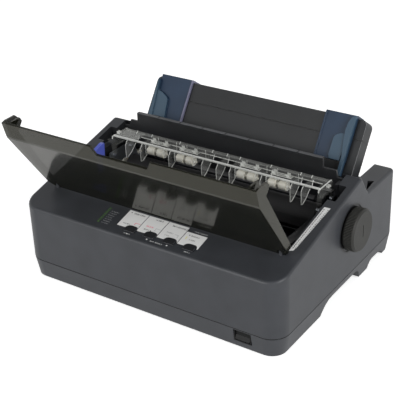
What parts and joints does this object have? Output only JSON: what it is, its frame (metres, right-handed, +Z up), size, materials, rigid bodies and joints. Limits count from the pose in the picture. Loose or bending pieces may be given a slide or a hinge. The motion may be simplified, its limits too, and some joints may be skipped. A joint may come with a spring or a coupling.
{
  "type": "dot_matrix_printer",
  "caption": "Compact dot matrix printer: smoked cover tipped open, sheet guide raised with its edge guides, tension unit over the platen, knob at the right, buttons on a sloped panel.",
  "frame": {"origin": "On the table plane, midway between the side walls and midway between the front and rear faces of the case", "axes": "+X to the machine's right seen from its front, +Y to its rear, +Z up"},
  "size_m": [0.362, 0.3011, 0.2137],
  "materials": {
    "case_plastic": "moulded, finely grained",
    "black_rubber": "matt",
    "zinc_steel": "zinc plated sheet",
    "bright_steel": "ground",
    "card_stock": "printed card under film",
    "light_pipe": "clear green",
    "circuit_board": "solder resist",
    "black_plastic": "moulded",
    "smoked_plastic": "smoked, see-through",
    "tray_plastic": "moulded",
    "blue_plastic": "moulded",
    "white_plastic": "acetal",
    "aluminium_tube": "turned",
    "motor_can": "nickel grey",
    "brass_gear": "machined",
    "clear_plastic": "clear moulding",
    "cast_head": "cast, blackened",
    "inked_ribbon": "inked nylon",
    "knob_blue": "moulded"
  },
  "bodies": {
    "base": {"lower_case": "case_plastic", "upper_case": "case_plastic", "rubber_feet": "black_rubber", "case_screws": "zinc_steel", "panel_cards": "card_stock", "indicator_lights": "light_pipe", "control_board": "circuit_board", "switch_housing": "black_plastic", "mechanism_frame": "zinc_steel", "platen_bearings": "white_plastic", "paper_pan": "black_plastic", "paper_divider": "black_plastic", "stepper_motors": "motor_can", "carriage_shaft": "bright_steel", "front_rail": "zinc_steel", "tractor_rod": "bright_steel", "timing_belt": "black_rubber", "ribbon_cartridge": "black_plastic", "ribbon": "inked_ribbon", "main_board": "circuit_board", "power_supply": "circuit_board", "power_inlet": "black_plastic", "interface_ports": "zinc_steel"},
    "printer_cover": {"printer_cover": "smoked_plastic"},
    "sheet_guide": {"sheet_guide": "tray_plastic"},
    "edge_guide_left": {"edge_guide_left": "blue_plastic"},
    "edge_guide_right": {"edge_guide_right": "blue_plastic"},
    "button_one": {"button_one": "black_plastic"},
    "button_two": {"button_two": "black_plastic"},
    "button_three": {"button_three": "black_plastic"},
    "button_four": {"button_four": "black_plastic"},
    "power_rocker": {"power_rocker": "black_plastic"},
    "tension_unit": {"tension_unit": "clear_plastic"},
    "rollers_one": {"rollers_one": "white_plastic"},
    "rollers_two": {"rollers_two": "white_plastic"},
    "rollers_three": {"rollers_three": "white_plastic"},
    "rollers_four": {"rollers_four": "white_plastic"},
    "platen": {"platen_rubber": "black_rubber", "platen_core": "aluminium_tube", "platen_shaft": "bright_steel", "platen_gear": "white_plastic", "platen_knob": "case_plastic"},
    "feed_idler": {"feed_idler": "white_plastic"},
    "feed_pinion": {"feed_pinion": "brass_gear"},
    "tractor_idler": {"tractor_idler": "white_plastic"},
    "tractor_drive": {"tractor_shaft": "bright_steel", "tractor_gear": "white_plastic"},
    "tractor_left": {"tractor_left": "black_plastic"},
    "tractor_right": {"tractor_right": "black_plastic"},
    "pin_wheel_left": {"pin_wheel_left": "white_plastic"},
    "pin_wheel_right": {"pin_wheel_right": "white_plastic"},
    "tractor_flap_left": {"tractor_flap_left": "black_plastic"},
    "tractor_flap_right": {"tractor_flap_right": "black_plastic"},
    "carriage": {"carriage": "black_plastic", "print_head": "cast_head"},
    "drive_pulley": {"drive_pulley": "brass_gear"},
    "idler_pulley": {"idler_pulley": "aluminium_tube"},
    "ribbon_knob": {"ribbon_knob": "knob_blue"},
    "thickness_lever": {"thickness_lever": "knob_blue"},
    "release_lever": {"release_lever": "black_plastic"}
  },
  "joints": [
    {"name": "cover_hinge", "type": "hinge", "parent": "base", "child": "printer_cover", "pos_m": [0, -0.09305, 0.1108], "axis": [-1, 0, 0], "range_deg": [0, 108.6]},
    {"name": "tray_hinge", "type": "hinge", "parent": "base", "child": "sheet_guide", "pos_m": [0, 0.06476, 0.10586], "axis": [-1, 0, 0], "range_deg": [0, 55]},
    {"name": "guide_left_slide", "type": "slide", "parent": "sheet_guide", "child": "edge_guide_left", "axis": [1, 0, 0], "range_m": [0, 0.055]},
    {"name": "guide_right_slide", "type": "slide", "parent": "sheet_guide", "child": "edge_guide_right", "axis": [1, 0, 0], "range_m": [-0.12, 0]},
    {"name": "button_one_press", "type": "slide", "parent": "base", "child": "button_one", "axis": [0, 0.2284, -0.9736], "range_m": [0, 0.0009], "stiffness_N_per_m": 250, "springref_m": -0.0012},
    {"name": "button_two_press", "type": "slide", "parent": "base", "child": "button_two", "axis": [0, 0.2284, -0.9736], "range_m": [0, 0.0009], "stiffness_N_per_m": 250, "springref_m": -0.0012},
    {"name": "button_three_press", "type": "slide", "parent": "base", "child": "button_three", "axis": [0, 0.2284, -0.9736], "range_m": [0, 0.0009], "stiffness_N_per_m": 250, "springref_m": -0.0012},
    {"name": "button_four_press", "type": "slide", "parent": "base", "child": "button_four", "axis": [0, 0.2284, -0.9736], "range_m": [0, 0.0009], "stiffness_N_per_m": 250, "springref_m": -0.0012},
    {"name": "power_switch", "type": "hinge", "parent": "base", "child": "power_rocker", "pos_m": [0.1278, -0.1309, 0.0175], "axis": [1, 0, 0], "range_deg": [0, 12]},
    {"name": "tension_unit_lift", "type": "slide", "parent": "base", "child": "tension_unit", "axis": [0, 0, -1], "range_m": [-0.045, 0]},
    {"name": "rollers_one_turn", "type": "hinge", "parent": "tension_unit", "child": "rollers_one", "pos_m": [-0.0795, 0.0064, 0.1266], "axis": [1, 0, 0], "continuous": true},
    {"name": "rollers_two_turn", "type": "hinge", "parent": "tension_unit", "child": "rollers_two", "pos_m": [-0.037, 0.0064, 0.1266], "axis": [1, 0, 0], "continuous": true},
    {"name": "rollers_three_turn", "type": "hinge", "parent": "tension_unit", "child": "rollers_three", "pos_m": [0.048, 0.0064, 0.1266], "axis": [1, 0, 0], "continuous": true},
    {"name": "rollers_four_turn", "type": "hinge", "parent": "tension_unit", "child": "rollers_four", "pos_m": [0.0895, 0.0064, 0.1266], "axis": [1, 0, 0], "continuous": true},
    {"name": "platen_turn", "type": "hinge", "parent": "base", "child": "platen", "pos_m": [0, 0.023, 0.0858], "axis": [1, 0, 0], "continuous": true},
    {"name": "feed_idler_turn", "type": "hinge", "parent": "base", "child": "feed_idler", "pos_m": [-0.1517, -0.00689, 0.06665], "axis": [1, 0, 0], "continuous": true},
    {"name": "feed_pinion_turn", "type": "hinge", "parent": "base", "child": "feed_pinion", "pos_m": [-0.1517, 0.006, 0.047], "axis": [1, 0, 0], "continuous": true},
    {"name": "tractor_idler_turn", "type": "hinge", "parent": "base", "child": "tractor_idler", "pos_m": [-0.1517, 0.05758, 0.07006], "axis": [1, 0, 0], "continuous": true},
    {"name": "tractor_drive_turn", "type": "hinge", "parent": "base", "child": "tractor_drive", "pos_m": [0, 0.088, 0.08], "axis": [1, 0, 0], "continuous": true},
    {"name": "tractor_left_slide", "type": "slide", "parent": "base", "child": "tractor_left", "axis": [1, 0, 0], "range_m": [0, 0.02]},
    {"name": "tractor_right_slide", "type": "slide", "parent": "base", "child": "tractor_right", "axis": [1, 0, 0], "range_m": [-0.06, 0]},
    {"name": "pin_wheel_left_turn", "type": "hinge", "parent": "tractor_left", "child": "pin_wheel_left", "pos_m": [-0.118, 0.088, 0.08], "axis": [1, 0, 0], "continuous": true},
    {"name": "pin_wheel_right_turn", "type": "hinge", "parent": "tractor_right", "child": "pin_wheel_right", "pos_m": [0.112, 0.088, 0.08], "axis": [1, 0, 0], "continuous": true},
    {"name": "flap_left_hinge", "type": "hinge", "parent": "tractor_left", "child": "tractor_flap_left", "pos_m": [-0.1274, 0.08, 0.0914], "axis": [0, 1, 0], "range_deg": [-100, 0]},
    {"name": "flap_right_hinge", "type": "hinge", "parent": "tractor_right", "child": "tractor_flap_right", "pos_m": [0.1214, 0.08, 0.0914], "axis": [0, -1, 0], "range_deg": [-100, 0]},
    {"name": "carriage_slide", "type": "slide", "parent": "base", "child": "carriage", "axis": [1, 0, 0], "range_m": [0, 0.2]},
    {"name": "drive_pulley_turn", "type": "hinge", "parent": "base", "child": "drive_pulley", "pos_m": [-0.128, -0.048, 0.044], "axis": [0, 1, 0], "continuous": true},
    {"name": "idler_pulley_turn", "type": "hinge", "parent": "base", "child": "idler_pulley", "pos_m": [0.128, -0.048, 0.044], "axis": [0, 1, 0], "continuous": true},
    {"name": "ribbon_knob_turn", "type": "hinge", "parent": "base", "child": "ribbon_knob", "pos_m": [-0.112, -0.067, 0.1], "axis": [0, 0, 1], "continuous": true},
    {"name": "thickness_lever_hinge", "type": "hinge", "parent": "base", "child": "thickness_lever", "pos_m": [-0.1479, -0.024, 0.073], "axis": [-1, 0, 0], "range_deg": [-25, 0]},
    {"name": "release_lever_hinge", "type": "hinge", "parent": "base", "child": "release_lever", "pos_m": [0.1479, 0.037, 0.095], "axis": [-1, 0, 0], "range_deg": [-20, 0]}
  ],
  "couplings": [
    {"joint": "feed_idler_turn", "follows": "platen_turn", "ratio": -1.0286},
    {"joint": "feed_pinion_turn", "follows": "platen_turn", "ratio": 3},
    {"joint": "tractor_idler_turn", "follows": "platen_turn", "ratio": -0.9},
    {"joint": "tractor_drive_turn", "follows": "platen_turn", "ratio": 1.5},
    {"joint": "pin_wheel_left_turn", "follows": "platen_turn", "ratio": 1.5},
    {"joint": "pin_wheel_right_turn", "follows": "platen_turn", "ratio": 1.5},
    {"joint": "drive_pulley_turn", "follows": "carriage_slide", "rad_per_m": 116.28},
    {"joint": "idler_pulley_turn", "follows": "carriage_slide", "rad_per_m": 116.28}
  ]
}
